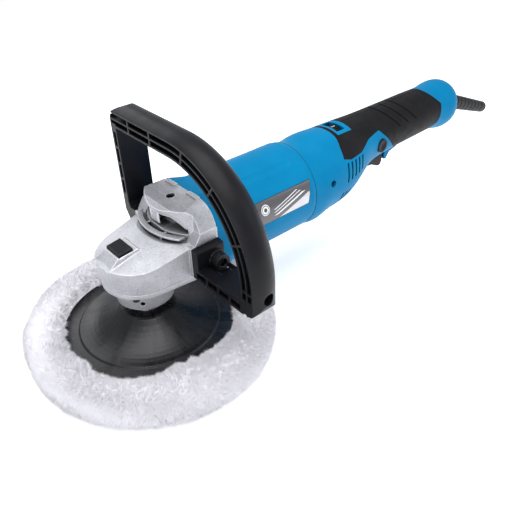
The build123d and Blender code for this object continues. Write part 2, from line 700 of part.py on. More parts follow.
def rear_shell():
    outside = rear_form(0)
    shape = outside - rear_form(REAR_WALL)
    # end wall that the cord boot passes through
    shape += rear_form(0.4) & block(380.4, 385, -40, 40, 60, 140)
    # guard behind the trigger
    outline = [(282, 86), (281.8, 75.4), (284.6, 74.8), (289.5, 81.2), (300, 83.6), (300, 86.5)]
    guard = side_prism(outline, -8.5, 8.5)
    shape += guard - rear_form(REAR_WALL)
    # seat for the soft cover, window frame for the dial, vents, trigger and button openings
    shape -= (outside - rear_form(COVER_SKIN)) & cover_zone()
    shape -= block(206.0, 216.0, -10.0, 10.0, 112, 140)
    for slot in side_vent_slots():
        shape -= slot
    shape -= block(246.2, 281.9, -8.0, 8.0, 60, 92)
    shape -= across(SIDE_BUTTON_X, SIDE_BUTTON_Z, -40, -15, 6.6)
    # screw bosses
    core = rear_form(REAR_WALL - 0.6)
    for x, z, side in shell_screw_places():
        shape += across(x, z, -45, 45, 4.4) & core
        shape -= across(x, z, side * -12, side * 60, 1.9)
        shape -= across(x, z, side * 12, side * 60, 3.1)
    # seats for the trigger pin
    for side in (-1, 1):
        lug = across(*TRIGGER_PIVOT, side * 8.1, side * 30, 4.2)
        shape += lug & core
    shape -= across(*TRIGGER_PIVOT, -12, 12, 1.5)
    # cord boot hole
    start, direction = boot_axis()
    shape -= rod(start - direction * 5, start + direction * 40, BOOT_R0 + 0.1)
    # spigot recess over the motor housing's bearing seat
    shape -= axial(14.6, 150, 158)
    return shape


def rear_half(shell, side):
    return whole(shell & block(100, 420, *sorted((0, side * 60)), 0, 200))


def soft_cover(side):
    skin = (rear_form(0) - rear_form(COVER_SKIN)) & cover_zone()
    for k in range(3):
        x = 266 + 13 * k
        groove = side_prism([(x, 131), (x + 1.4, 131), (x + 18.4, 114), (x + 17, 114)], -60, 60)
        skin -= groove - rear_form(0.7)
    for x, z, head_side in shell_screw_places():
        skin -= across(x, z, head_side * 12, head_side * 60, 3.1)
    return whole(skin & block(150, 420, *sorted((side * COVER_SEAM, side * 60)), 0, 200))


def shell_screws():
    screws = []
    for x, z, side in shell_screw_places():
        head = across(x, z, side * 12, side * 14.6, 3.0)
        slot = block(x - 2, x + 2, *sorted((side * 13.6, side * 15)), z - 0.4, z + 0.4)
        shank = across(x, z, side * 12, side * -11, 1.85)
        screws.append(whole(head + shank - slot))
    return Compound(screws)


# ---- Controls --------------------------------------------------------------------------------
def trigger():
    outline = [
        (247.0, 82), (247.2, 77.0), (252, 75.8), (264, 74.6), (271, 71.2), (275, 69.8),
        (278, 70.6), (279.4, 74), (279.8, 86.5), (262, 90.5), (250, 89.5), (247.0, 87),
    ]
    shape = side_prism(outline, -7.4, 7.4)
    shape -= across(*TRIGGER_PIVOT, -9, 9, 1.56)
    shape -= side_prism([(258, 79), (276, 79), (276, 95), (258, 95)], -4.9, 4.9)
    return whole(shape)


def trigger_pin():
    return whole(across(*TRIGGER_PIVOT, -11.8, 11.8, 1.5))


def trigger_spring():
    return whole(spring((267, 0, 79.0), (267, 0, 96.0), 3.4, 0.5, 6))


def switch_body():
    shape = block(250, 288, -9.5, 9.5, 96, 113)
    shape += block(246, 292, -9.5, 9.5, 102, 106)
    return whole(shape)


def lock_on_button():
    head = across(SIDE_BUTTON_X, SIDE_BUTTON_Z, -25.8, -20.4, 6.3)
    dish = Pos(SIDE_BUTTON_X, -37.2, SIDE_BUTTON_Z) * Sphere(12.2)
    stem = across(SIDE_BUTTON_X, SIDE_BUTTON_Z, -20.4, -13.4, 2.4)
    return whole(head + stem - dish)


def lock_on_spring():
    inner, outer = (SIDE_BUTTON_X, -9.5, SIDE_BUTTON_Z), (SIDE_BUTTON_X, -20.4, SIDE_BUTTON_Z)
    return whole(spring(outer, inner, 3.6, 0.4, 4))


def speed_dial():
    wheel = axial_ring(DIAL_R, 1.56, 207.2, 214.8, 0, DIAL_Z)
    cuts = [
        Pos(0, 0, DIAL_Z) * Rot(k * 10, 0, 0) * block(206, 216, -0.45, 0.45, DIAL_R - 0.7, DIAL_R + 2)
        for k in range(36)
    ]
    return whole(wheel - cuts)


def dial_pin():
    return whole(axial(1.5, 203.4, 218.6, 0, DIAL_Z))


def speed_module():
    shape = block(203.4, 218.6, -12, 12, 90, 99.5)
    for x0 in (203.4, 216.2):
        shape += block(x0, x0 + 2.4, -6, 6, 99.5, 119)
    return whole(shape - axial(1.5, 202, 220, 0, DIAL_Z))


# ---- Cord entry ----------------------------------------------------------------------------------
def boot_axis():
    start = Vector(BOOT_START[0], 0, BOOT_START[1])
    return start, Vector(cos(BOOT_DROOP), 0, -sin(BOOT_DROOP))


def cord_boot():
    start, direction = boot_axis()
    end = start + direction * BOOT_LENGTH
    body = cone(start, end, BOOT_R0, BOOT_R1)
    body = fillet(body.edges().group_by(Axis.X)[-1], 2.2)
    body += rod(start - direction * 1.6, start + direction * 1.2, 10.6)
    for k in range(9):
        along = 26 + k * 8.6
        spot = start + direction * along
        r = BOOT_R0 + (BOOT_R1 - BOOT_R0) * along / BOOT_LENGTH
        body -= pipe(spot, spot + direction * 1.8, r + 3, r - 0.8)
    return whole(body - rod(start - direction * 3, end + direction, BOOT_BORE))


def cord_clamp():
    bar = block(356.5, 364.5, -11, 11, 106.6, 110.6) - axial(4.0, 350, 370, 0, 112.4)
    for y in (-8, 8):
        bar -= upright(1.6, 100, 112, 360.5, y)
    return whole(bar)


def clamp_block():
    seat = block(356.5, 364.5, -11, 11, 100.6, 104.4)
    for y in (-8, 8):
        seat -= upright(1.4, 100, 105, 360.5, y)
    return whole(seat)


def clamp_screws():
    return Compound([
        whole(upright(1.4, 101, 110.6, 360.5, y) + upright(2.6, 110.6, 112.6, 360.5, y))
        for y in (-8, 8)
    ])


# ---- D-handle ------------------------------------------------------------------------------------
def grip_section():
    """Outline of the grip across its length: x, and height over its inner face."""
    front, rear = (GRIP_X0, GRIP_EDGE), (GRIP_X1, GRIP_REAR_EDGE)
    base = Polyline(front, (GRIP_X0, 0), (GRIP_X1, 0), rear)
    bulge = ThreePointArc(rear, (GRIP_CREST_X, GRIP_BULGE), front)
    return make_face([*base.edges(), bulge])


ARC_Y, ARC_Z = LOOP_SIDE_Y + LOOP_ARC_R, LOOP_TOP_Z - LOOP_ARC_R


def along_grip(section):
    """Carry a section along the grip: straight top, quarter round, straight side."""
    top_plane = Plane(origin=(0, ARM_Y1, LOOP_TOP_Z), x_dir=(1, 0, 0), z_dir=(0, -1, 0))
    top = extrude(top_plane * section, amount=ARM_Y1 - ARC_Y)
    start = Plane(origin=(0, ARC_Y, LOOP_TOP_Z), x_dir=(1, 0, 0), z_dir=(0, -1, 0)) * section
    bend = revolve(start, Axis((0, ARC_Y, ARC_Z), (1, 0, 0)), 90)
    side_plane = Plane(origin=(0, LOOP_SIDE_Y, ARC_Z), x_dir=(1, 0, 0), z_dir=(0, 0, -1))
    side = extrude(side_plane * section, amount=ARC_Z - LOOP_LOW_Z)
    return top + bend + side


def grip_pockets():
    """Moulding pockets between cross ribs: two rows on the front face and one behind."""
    front, rear = (GRIP_X0 - 1, GRIP_X0 + 9), (GRIP_X1 - 9, GRIP_X1 + 1)
    cutter = None
    for (x0, x1), low, high in ((front, 1.6, 5.6), (front, 7.0, 11.0), (rear, 1.6, 5.6)):
        strip = along_grip(Pos((x0 + x1) / 2, (low + high) / 2) * Rectangle(x1 - x0, high - low))
        cutter = strip if cutter is None else cutter + strip
    ribs = [block(GRIP_X0 - 2, GRIP_X1 + 2, y - 0.8, y + 0.8, 160, 200) for y in (52.8, 28, 0)]
    for angle in (12, 36, 64, 90):
        rib = Rot(angle, 0, 0) * block(GRIP_X0 - 2, GRIP_X1 + 2, -0.8, 0.8, 60, 95)
        ribs.append(Pos(0, ARC_Y, ARC_Z) * rib)
    ribs.append(block(GRIP_X0 - 2, GRIP_X1 + 2, -120, -85, 79, 91.5))
    for rib in ribs:
        cutter -= rib
    return cutter


def d_handle():
    side_y, top_z = LOOP_SIDE_Y - GRIP_BULGE - 0.1, LOOP_TOP_Z + GRIP_BULGE + 0.1
    outline = Rectangle(ARM_Y1 - side_y, top_z - LOOP_LOW_Z)
    mask = Plane.YZ * Pos((ARM_Y1 + side_y) / 2, (top_z + LOOP_LOW_Z) / 2) * outline
    corners = mask.vertices().filter_by(lambda v: (v.Y > 0) == (v.Z > 100))
    mask = fillet(corners, HANDLE_CORNER_R)
    mask = Pos(GRIP_X0 - 5, 0, 0) * extrude(mask, amount=GRIP_X1 - GRIP_X0 + 10)
    grip = along_grip(grip_section()) & mask
    left = front_prism([
        (PAD_Y, 79), (45, 79), (46.5, 86), (ARM_Y1, 98), (ARM_Y1, LOOP_TOP_Z + 3),
        (ARM_Y0, LOOP_TOP_Z + 3), (ARM_Y0, 106), (45, 102.4), (PAD_Y, 102.4),
    ], GRIP_X0, GRIP_X1)
    right = front_prism([
        (-PAD_Y, LOOP_LOW_Z), (-95, LOOP_LOW_Z), (-95, 90), (-60, 86.5), (-45, 86.5), (-45, 101.4),
        (-44, 102.4), (-PAD_Y, 102.4),
    ], GRIP_X0, GRIP_X1)
    shape = grip - grip_pockets()
    shape += left
    shape += right
    # pockets along the two arms
    for z0 in (114, 127.5, 141, 154.5):
        for x0, x1 in ((GRIP_X0 - 1, GRIP_X0 + 9), (GRIP_X1 - 9, GRIP_X1 + 1)):
            shape -= block(x0, x1, ARM_Y0 + 1.8, ARM_Y1 - 1.8, z0, z0 + 11.6)
    for y0 in (-92, -79, -66, -53):
        for x0, x1 in ((GRIP_X0 - 1, GRIP_X0 + 9), (GRIP_X1 - 9, GRIP_X1 + 1)):
            shape -= block(x0, x1, y0, y0 + 11, LOOP_LOW_Z + 2, LOOP_LOW_Z + 6.8)
    # clear of the flange behind the mounting faces, and round it off
    shape -= block(22.0 - 5, 45.9 + 5, -PAD_Y, PAD_Y, 60, 130)
    for side in (-1, 1):
        shape -= across(HANDLE_BOLT_X, HANDLE_BOLT_Z, side * 30, side * 60, 4.25)
        shape -= across(HANDLE_BOLT_X, HANDLE_BOLT_Z, side * 45, side * 60, 8.2)
    # key hole near the low corner
    shape -= across(33.8, 92.4, -125, -97, 4.6)
    return whole(shape)


def handle_bolts():
    bolts = []
    for side in (-1, 1):
        x, z = HANDLE_BOLT_X, HANDLE_BOLT_Z
        shank = across(x, z, side * 24, side * 46.4, SIDE_THREAD_R)
        head = across(x, z, side * 46.4, side * 53.4, 6.4)
        socket = across(x, z, side * 49.4, side * 54, 3.4)
        bolts.append(whole(shank + head - socket))
    return Compound(bolts)


def handle_washers():
    x, z = HANDLE_BOLT_X, HANDLE_BOLT_Z
    return Compound([
        whole(pipe((x, side * 45, z), (x, side * 46.4, z), 7.2, SIDE_THREAD_R)) for side in (-1, 1)
    ])


# ---- Write every piece -----------------------------------------------------------------------------
def spindle_bearing():
    return ball_bearing(Pos(0, 0, 58), SPINDLE_R, 16.0, 9.0, 9)


def armature_bearing(x, bore_r, outer_r, width, count):
    place = Plane(origin=(x, 0, MOTOR_Z), x_dir=(0, 1, 0), z_dir=(1, 0, 0)).location
    return ball_bearing(place, bore_r, outer_r, width, count)


def parts():
    shell = rear_shell()
    spindle_outer, spindle_inner, spindle_balls = spindle_bearing()
    front_outer, front_inner, front_balls = armature_bearing(32, SHAFT_R, 16.0, 10, 8)
    rear_outer, rear_inner, rear_balls = armature_bearing(149.8, 4.0, 11.0, 7, 7)
    return {
        "gear_housing": gear_housing(),
        "gear_cover": gear_cover(),
        "gear_cover_screws": cover_screws(),
        "flange_screws": flange_screws(),
        "motor_housing": motor_housing(),
        "side_labels": side_labels(),
        "rear_shell_left": rear_half(shell, 1),
        "rear_shell_right": rear_half(shell, -1),
        "grip_cover_left": soft_cover(1),
        "grip_cover_right": soft_cover(-1),
        "rear_shell_screws": shell_screws(),
        "d_handle": d_handle(),
        "d_handle_bolts": handle_bolts(),
        "d_handle_washers": handle_washers(),
        "cord_boot": cord_boot(),
        "cord_clamp_bar": cord_clamp(),
        "cord_clamp_seat": clamp_block(),
        "cord_clamp_screws": clamp_screws(),
        "stator_core": stator_core(),
        "field_coils": field_coils(),
        "stator_screws": stator_screws(),
        "brush_yoke": brush_yoke(),
        "brush_holders": brush_holders(),
        "carbon_brushes": carbon_brushes(),
        "brush_springs": brush_springs(),
        "switch_body": switch_body(),
        "speed_module": speed_module(),
        "dial_pin": dial_pin(),
        "trigger_pin": trigger_pin(),
        "trigger_spring": trigger_spring(),
        "lock_spring": lock_spring(),
        "lock_on_spring": lock_on_spring(),
        "spindle_seal": spindle_seal(),
        "spindle_top_bush": top_bush(),
        "spindle_bearing_outer": spindle_outer,
        "armature_front_bearing_outer": front_outer,
        "armature_rear_bearing_outer": rear_outer,
        "output_spindle": output_spindle(),
        "crown_gear": crown_gear(),
        "crown_gear_clip": gear_clip(),
        "spindle_bearing_inner": spindle_inner,
        "spindle_bearing_balls": spindle_balls,
        "pad_hub": pad_hub(),
        "backing_pad": backing_pad(),
        "wool_bonnet": wool_bonnet(),
        "drawstring": drawstring(),
        "armature_shaft": armature_shaft(),
        "bevel_pinion": bevel_pinion(),
        "rotor_core": rotor_core(),
        "rotor_windings": rotor_windings(),
        "commutator": commutator(),
        "cooling_fan": cooling_fan(),
        "armature_front_bearing_inner": front_inner,
        "armature_bearing_balls": Compound([*front_balls.solids(), *rear_balls.solids()]),
        "armature_rear_bearing_inner": rear_inner,
        "lock_button": lock_button(),
        "lock_pin": lock_pin(),
        "trigger": trigger(),
        "lock_on_button": lock_on_button(),
        "speed_dial": speed_dial(),
    }


if __name__ == "__main__":
    os.makedirs("parts", exist_ok=True)
    for name, piece in parts().items():
        export_step(piece, f"parts/{name}.step")
        print(name, round(piece.volume))
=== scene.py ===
import json
import math

import bpy
import numpy as np
from mathutils import Matrix, Vector


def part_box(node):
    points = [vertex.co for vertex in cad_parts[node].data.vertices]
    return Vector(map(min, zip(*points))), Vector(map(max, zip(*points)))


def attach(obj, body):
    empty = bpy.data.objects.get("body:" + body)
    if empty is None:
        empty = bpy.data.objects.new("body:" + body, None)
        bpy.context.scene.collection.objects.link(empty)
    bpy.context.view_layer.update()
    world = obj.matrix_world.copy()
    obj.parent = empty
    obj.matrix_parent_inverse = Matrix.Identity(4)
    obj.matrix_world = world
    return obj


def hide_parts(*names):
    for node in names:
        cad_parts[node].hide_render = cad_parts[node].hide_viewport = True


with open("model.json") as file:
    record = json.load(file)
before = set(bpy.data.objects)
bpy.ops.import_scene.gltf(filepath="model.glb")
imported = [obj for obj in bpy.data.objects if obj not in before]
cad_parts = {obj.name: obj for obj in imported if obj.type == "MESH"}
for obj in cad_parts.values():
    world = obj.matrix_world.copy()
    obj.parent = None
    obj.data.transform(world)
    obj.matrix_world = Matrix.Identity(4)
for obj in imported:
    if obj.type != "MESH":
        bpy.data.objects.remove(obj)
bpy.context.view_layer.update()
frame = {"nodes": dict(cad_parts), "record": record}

MM = 0.001

# Camera: where it stands, how it is turned, and its lens
CAMERA_AT = Vector((-0.1641, -0.3308, 0.3421))
CAMERA_AZIMUTH, CAMERA_ELEVATION, CAMERA_ROLL = (math.radians(v) for v in (-40.185, 35.665, -1.803))
CAMERA_LENS, CAMERA_SENSOR = 40.83, 36.0

# Wool bonnet: pile surface as a ring of superellipse section, in metres
PILE_MIDDLE, PILE_HALF_WIDTH = 0.0848, 0.0177
PILE_HALF_HEIGHT = 0.019
PILE_SQUARENESS = 2.3
PILE_LENGTH = 0.0052
SKIN_DEPTH = 0.0032  # the body under the pile lies this far below its surface
STRAND_WIDTH = 0.00023
SLIM_SIDE, SLIM_SIDE_TURN = 0.0055, 0.35  # the ring is this much narrower on its front-left side
OPENING_SQUARE, OPENING_SQUARE_TURN = 0.0024, 0.6  # how far the opening leans towards a square
OVER_FLOOR = 0.0006
TUFT_TURN, TUFT_AROUND = 0.034, 0.15  # size of one tuft's cell, in radians
STRANDS_PER_PIECE = 130000
PILE_PIECES = 6

# Side label, in the motor's own measures
MOTOR_AXIS_Z = sum(v.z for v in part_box("armature_shaft")) / 2
LABEL_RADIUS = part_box("side_labels")[1].y
LABEL_LOW = 93.0  # millimetres, as are the rest of the label's measures
SILVER_START, SILVER_SLOPE = 108.0, 3.5  # slopes are the x gained for each step of z
RIGHT_EDGE, RIGHT_SLOPE = 142.0, 0.27
BAR_START, BAR_SLOPE = 103.8, 3.65
BARS = ((96.6, 105.5, 4.2), (99.2, 107.3, 2.2), (101.6, 108.8, 2.2))  # low, high, thickness along x
BADGE_AT = (95.8, 104.3)
PRINT_SUNK, PRINT_LIFT, MARK_LIFT = -0.03, 0.1, 0.16


# ---- Camera, floor and light ------------------------------------------------------------------
def make_camera():
    a, e, r = CAMERA_AZIMUTH, CAMERA_ELEVATION, CAMERA_ROLL
    back = Vector((math.sin(a) * math.cos(e), -math.cos(a) * math.cos(e), math.sin(e)))
    level = Vector((math.cos(a), math.sin(a), 0))
    above = back.cross(level)
    right = level * math.cos(r) + above * math.sin(r)
    up = above * math.cos(r) - level * math.sin(r)
    data = bpy.data.cameras.new("camera")
    data.lens, data.sensor_width = CAMERA_LENS, CAMERA_SENSOR
    data.clip_start = 0.01
    camera = bpy.data.objects.new("camera", data)
    camera.matrix_world = Matrix.Translation(CAMERA_AT) @ Matrix((right, up, back)).transposed().to_4x4()
    bpy.context.scene.collection.objects.link(camera)
    bpy.context.scene.camera = camera


def make_light(name, at, aim, size, watts, tint=(1, 1, 1)):
    data = bpy.data.lights.new(name, "AREA")
    data.shape, data.size, data.energy, data.color = "DISK", size, watts, tint
    light = bpy.data.objects.new(name, data)
    light.location = at
    light.rotation_mode = "QUATERNION"
    light.rotation_quaternion = (Vector(aim) - Vector(at)).to_track_quat("-Z", "Y")
    bpy.context.scene.collection.objects.link(light)


def make_studio():
    centre = (0.1, 0, 0.08)
    make_light("top_softbox", (0.05, -0.10, 1.15), centre, 1.2, 12.5)
    make_light("front_softbox", (-0.80, -0.70, 0.60), centre, 0.9, 3.6)
    make_light("side_softbox", (0.8, -0.7, 0.6), centre, 0.6, 1.2, (0.96, 0.98, 1.0))
    make_light("back_strip", (0.1, 1.0, 0.6), centre, 0.7, 2.6, (0.97, 0.98, 1.0))
    world = bpy.data.worlds.new("studio")
    world.use_nodes = True
    surround = world.node_tree.nodes["Background"]
    surround.inputs["Color"].default_value = (0.93, 0.95, 1.0, 1)
    surround.inputs["Strength"].default_value = 0.55
    bpy.context.scene.world = world
    bpy.context.scene.view_settings.view_transform = "Standard"


def make_floor():
    mesh = bpy.data.meshes.new("floor")
    reach = 6.0
    mesh.from_pydata([(-reach, -reach, 0), (reach, -reach, 0), (reach, reach, 0), (-reach, reach, 0)],
                     [], [(0, 1, 2, 3)])
    floor = bpy.data.objects.new("floor", mesh)
    bpy.context.scene.collection.objects.link(floor)
    g = Graph("floor_paper", Roughness=0.9, Emission_Color=(1, 1, 1, 1), Emission_Strength=0.38)
    g.colour(g.mix(g.noise(3.0), (0.90, 0.90, 0.905), (0.92, 0.92, 0.925)))
    mesh.materials.append(g.material)


# ---- Materials ----------------------------------------------------------------------------------
class Graph:
    """One material with a Principled shader, and short ways to add nodes to it."""

    def __init__(self, name, **constants):
        self.material = bpy.data.materials.new(name)
        self.material.use_nodes = True
        self.tree = self.material.node_tree
        self.shader = self.tree.nodes["Principled BSDF"]
        for key, value in constants.items():
            self.shader.inputs[key.replace("_", " ")].default_value = value
        self.place = self.node("ShaderNodeTexCoord").outputs["Object"]

    def node(self, kind, **settings):
        made = self.tree.nodes.new(kind)
        for key, value in settings.items():
            setattr(made, key, value)
        return made

    def feed(self, socket, value):
        if isinstance(value, bpy.types.NodeSocket):
            self.tree.links.new(value, socket)
        elif isinstance(value, tuple) and len(value) == 3 and socket.type == "RGBA":
            socket.default_value = (*value, 1)
        else:
            socket.default_value = value

    def stretched(self, factors):
        made = self.node("ShaderNodeMapping")
        self.feed(made.inputs["Vector"], self.place)
        made.inputs["Scale"].default_value = factors
        return made.outputs["Vector"]

    def noise(self, scale, detail=3.0, rough=0.55, place=None):
        made = self.node("ShaderNodeTexNoise")
        self.feed(made.inputs["Vector"], place or self.place)
        made.inputs["Scale"].default_value = scale
        made.inputs["Detail"].default_value = detail
        made.inputs["Roughness"].default_value = rough
        return made.outputs["Fac"]

    def cells(self, scale, place=None):
        made = self.node("ShaderNodeTexVoronoi")
        self.feed(made.inputs["Vector"], place or self.place)
        made.inputs["Scale"].default_value = scale
        return made.outputs["Distance"]

    def spread(self, value, low, high, to_low=0.0, to_high=1.0):
        made = self.node("ShaderNodeMapRange")
        self.feed(made.inputs["Value"], value)
        for key, number in (("From Min", low), ("From Max", high), ("To Min", to_low), ("To Max", to_high)):
            made.inputs[key].default_value = number
        return made.outputs["Result"]

    def maths(self, operation, a, b=0.0):
        made = self.node("ShaderNodeMath", operation=operation)
        self.feed(made.inputs[0], a)
        self.feed(made.inputs[1], b)
        return made.outputs[0]

    def mix(self, share, a, b):
        made = self.node("ShaderNodeMix", data_type="RGBA")
        self.feed(made.inputs[0], share)
        self.feed(made.inputs[6], a)
        self.feed(made.inputs[7], b)
        return made.outputs[2]

    def parts(self):
        made = self.node("ShaderNodeSeparateXYZ")
        self.feed(made.inputs[0], self.place)
        return made.outputs

    def rounded(self, radius):
        made = self.node("ShaderNodeBevel", samples=4)
        made.inputs["Radius"].default_value = radius
        return made.outputs["Normal"]

    def edge(self, radius, sharp=0.88):
        """1 along the solid's edges and 0 on its faces."""
        dot = self.node("ShaderNodeVectorMath", operation="DOT_PRODUCT")
        self.feed(dot.inputs[0], self.rounded(radius))
        self.feed(dot.inputs[1], self.node("ShaderNodeNewGeometry").outputs["Normal"])
        return self.spread(dot.outputs["Value"], 1.0, sharp)

    def crevice(self, reach):
        """Mask for painted shade: 1 deep inside slots and cavities and 0 on open faces."""
        made = self.node("ShaderNodeAmbientOcclusion", samples=8)
        made.inputs["Distance"].default_value = reach
        return self.spread(made.outputs["AO"], 0.68, 0.30)

    def bumps(self, layers, base=None):
        """Stacks bump layers, each (height, depth in metres), on the base normal."""
        normal = base
        for height, depth in layers:
            made = self.node("ShaderNodeBump")
            made.inputs["Strength"].default_value = 1.0
            made.inputs["Distance"].default_value = depth
            self.feed(made.inputs["Height"], height)
            if normal:
                self.feed(made.inputs["Normal"], normal)
            normal = made.outputs["Normal"]
        self.feed(self.shader.inputs["Normal"], normal)

    def colour(self, value):
        self.feed(self.shader.inputs["Base Color"], value)

    def rough(self, value, low, high):
        self.feed(self.shader.inputs["Roughness"], self.spread(value, 0.3, 0.7, low, high))


def cast_aluminium():
    """Sand-cast and tumbled: open grain, dark pits, bright rubbed edges, painted shade deep in the vents.
    """
    g = Graph("cast_aluminium", Metallic=0.58)
    grit = g.noise(1500, 3, 0.6)
    cloud = g.noise(55, 4, 0.6)
    body = g.mix(g.spread(cloud, 0.35, 0.65), (0.44, 0.445, 0.475), (0.56, 0.565, 0.60))
    body = g.mix(g.spread(grit, 0.30, 0.47, 0.80, 0.0), body, (0.15, 0.152, 0.165))
    body = g.mix(g.spread(grit, 0.58, 0.70, 0.0, 0.60), body, (0.80, 0.81, 0.84))
    worn = g.maths("MULTIPLY", g.edge(0.0013, 0.93), g.spread(g.noise(240), 0.25, 0.5, 0.45, 1.0))
    body = g.mix(worn, body, (0.97, 0.975, 1.0))
    # Painted shade: near-black colour mixed in deep inside the vents and slots, where shade falls.
    g.colour(g.mix(g.crevice(0.016), body, (0.012, 0.012, 0.014)))
    g.rough(grit, 0.38, 0.56)
    g.bumps([(g.noise(90, 2), 0.0003), (grit, 0.00022), (g.noise(4200, 2), 0.00005)], g.rounded(0.0016))
    return g.material


def moulded_plastic(name, low, high, worn, roughness, grain, edge_radius=0.0006, depth=0.00003, shine=0.25):
    """Moulded plastic: spark-eroded grain, faint flow marks, paler rubbed edges."""
    g = Graph(name, IOR=1.47, Specular_IOR_Level=shine)
    cloud = g.noise(28, 4, 0.6)
    body = g.mix(g.spread(cloud, 0.35, 0.65), low, high)
    rubbed = g.maths("MULTIPLY", g.edge(edge_radius), g.spread(g.noise(210), 0.35, 0.65, 0.15, 0.75))
    body = g.mix(rubbed, body, worn)
    # Painted shade: near-black colour mixed in deep in slots and recesses, where shade falls.
    g.colour(g.mix(g.crevice(0.006), body, (0.002, 0.003, 0.004)))
    smear = g.noise(34, 5, 0.7, g.stretched((1, 2.4, 2.4)))
    g.rough(smear, roughness - 0.05, roughness + 0.07)
    g.bumps([(g.noise(grain, 2, 0.5), depth), (g.noise(70, 1), 0.00006)], g.rounded(edge_radius))
    return g.material


def soft_grip():
    g = Graph("soft_grip_rubber", Sheen_Weight=0.01, Sheen_Roughness=0.5, Specular_IOR_Level=0.12)
    body = g.mix(g.spread(g.noise(40, 4), 0.35, 0.65), (0.005, 0.005, 0.0065), (0.009, 0.009, 0.011))
    dust = g.maths("MULTIPLY", g.spread(g.noise(320, 4, 0.7), 0.56, 0.74), 0.3)
    g.colour(g.mix(dust, body, (0.020, 0.020, 0.023)))
    g.rough(g.noise(120, 3), 0.48, 0.62)
    g.bumps([(g.cells(2300), 0.00005), (g.noise(4200, 1), 0.00002)], g.rounded(0.0004))
    return g.material


def ribbed_rubber():
    g = Graph("boot_rubber", Specular_IOR_Level=0.25)
    body = g.mix(g.spread(g.noise(60, 4), 0.35, 0.65), (0.006, 0.006, 0.007), (0.011, 0.011, 0.013))
    g.colour(g.mix(g.maths("MULTIPLY", g.edge(0.0006), 0.4), body, (0.06, 0.06, 0.065)))
    g.rough(g.noise(150, 4), 0.42, 0.58)
    g.bumps([(g.noise(2600, 2), 0.00004)], g.rounded(0.0005))
    return g.material


def pad_rubber():
    """Turned rubber: fine rings round the spindle, radial sheen, and a little polishing dust."""
    g = Graph("pad_rubber", Specular_IOR_Level=0.4, Anisotropic=0.8)
    x, y, _ = g.parts()
    radius = g.maths("SQRT", g.maths("ADD", g.maths("MULTIPLY", x, x), g.maths("MULTIPLY", y, y)))
    rings = g.maths("SINE", g.maths("MULTIPLY", radius, 5200.0))
    angle = g.maths("ARCTAN2", y, x)
    turned = g.node("ShaderNodeCombineXYZ")
    g.feed(turned.inputs["X"], g.maths("MULTIPLY", angle, 0.6))
    g.feed(turned.inputs["Y"], g.maths("MULTIPLY", radius, 3.0))
    sweep = g.noise(6.0, 4, 0.6, turned.outputs[0])
    body = g.mix(g.spread(sweep, 0.35, 0.65), (0.005, 0.005, 0.0065), (0.013, 0.013, 0.016))
    specks = g.spread(g.noise(900, 3, 0.7), 0.68, 0.76)
    g.colour(g.mix(g.maths("MULTIPLY", specks, 0.5), body, (0.12, 0.12, 0.13)))
    g.rough(sweep, 0.20, 0.36)
    tangent = g.node("ShaderNodeTangent", direction_type="RADIAL", axis="Z")
    g.feed(g.shader.inputs["Tangent"], tangent.outputs[0])
    g.bumps([(rings, 0.00001), (g.noise(1400, 2), 0.00002)], g.rounded(0.0006))
    return g.material


def turned_steel(name, low, high, low_rough, high_rough):
    g = Graph(name, Metallic=1.0, Anisotropic=0.4)
    cloud = g.noise(120, 4, 0.6)
    body = g.mix(g.spread(cloud, 0.35, 0.65), low, high)
    g.colour(g.mix(g.maths("MULTIPLY", g.edge(0.0003), 0.5), body, (0.85, 0.85, 0.87)))
    g.rough(g.noise(800, 3), low_rough, high_rough)
    g.bumps([(g.noise(900, 2, 0.5, g.stretched((1, 1, 9))), 0.00001)], g.rounded(0.0002))
    return g.material


def black_steel():
    g = Graph("blackened_steel", Metallic=0.9)
    body = g.mix(g.spread(g.noise(300, 4), 0.35, 0.65), (0.020, 0.020, 0.022), (0.050, 0.050, 0.055))
    g.colour(g.mix(g.maths("MULTIPLY", g.edge(0.0004), 0.55), body, (0.30, 0.30, 0.32)))
    g.rough(g.noise(700, 3), 0.32, 0.5)
    g.bumps([(g.noise(2400, 2), 0.00002)], g.rounded(0.0003))
    return g.material


def laminations():
    g = Graph("stacked_laminations", Metallic=0.85)
    x, _, _ = g.parts()
    sheets = g.maths("SINE", g.maths("MULTIPLY", x, 2 * math.pi / (0.5 * MM)))
    body = g.mix(g.spread(sheets, -1, 1), (0.16, 0.16, 0.17), (0.34, 0.34, 0.35))
    rust = g.spread(g.noise(150, 4, 0.7), 0.60, 0.75)
    g.colour(g.mix(g.maths("MULTIPLY", rust, 0.4), body, (0.20, 0.11, 0.06)))
    g.rough(g.noise(300), 0.4, 0.6)
    g.bumps([(sheets, 0.00003)])
    return g.material


def copper():
    g = Graph("enamelled_copper", Metallic=0.9, Coat_Weight=0.4)
    wires = g.cells(1700, g.stretched((0.15, 1, 1)))
    body = g.mix(g.spread(wires, 0.0, 0.6), (0.62, 0.25, 0.12), (0.28, 0.10, 0.05))
    g.colour(g.mix(g.spread(g.noise(90), 0.4, 0.6, 0.0, 0.5), body, (0.50, 0.18, 0.08)))
    g.rough(g.noise(200), 0.25, 0.4)
    g.bumps([(wires, -0.0002)])
    return g.material


def brass():
    g = Graph("drawn_brass", Metallic=1.0)
    body = g.mix(g.spread(g.noise(160, 4), 0.35, 0.65), (0.62, 0.44, 0.17), (0.76, 0.58, 0.27))
    g.colour(g.mix(g.edge(0.0003), body, (0.86, 0.72, 0.42)))
    g.rough(g.noise(600, 3), 0.25, 0.42)
    g.bumps([(g.noise(1200, 2, 0.5, g.stretched((12, 1, 1))), 0.00001)], g.rounded(0.0002))
    return g.material


def carbon():
    g = Graph("pressed_carbon")
    g.colour(g.mix(g.spread(g.noise(1200, 3), 0.35, 0.65), (0.012, 0.012, 0.012), (0.035, 0.035, 0.036)))
    g.rough(g.noise(500), 0.45, 0.65)
    g.bumps([(g.noise(2600, 2), 0.00003)], g.rounded(0.0003))
    return g.material


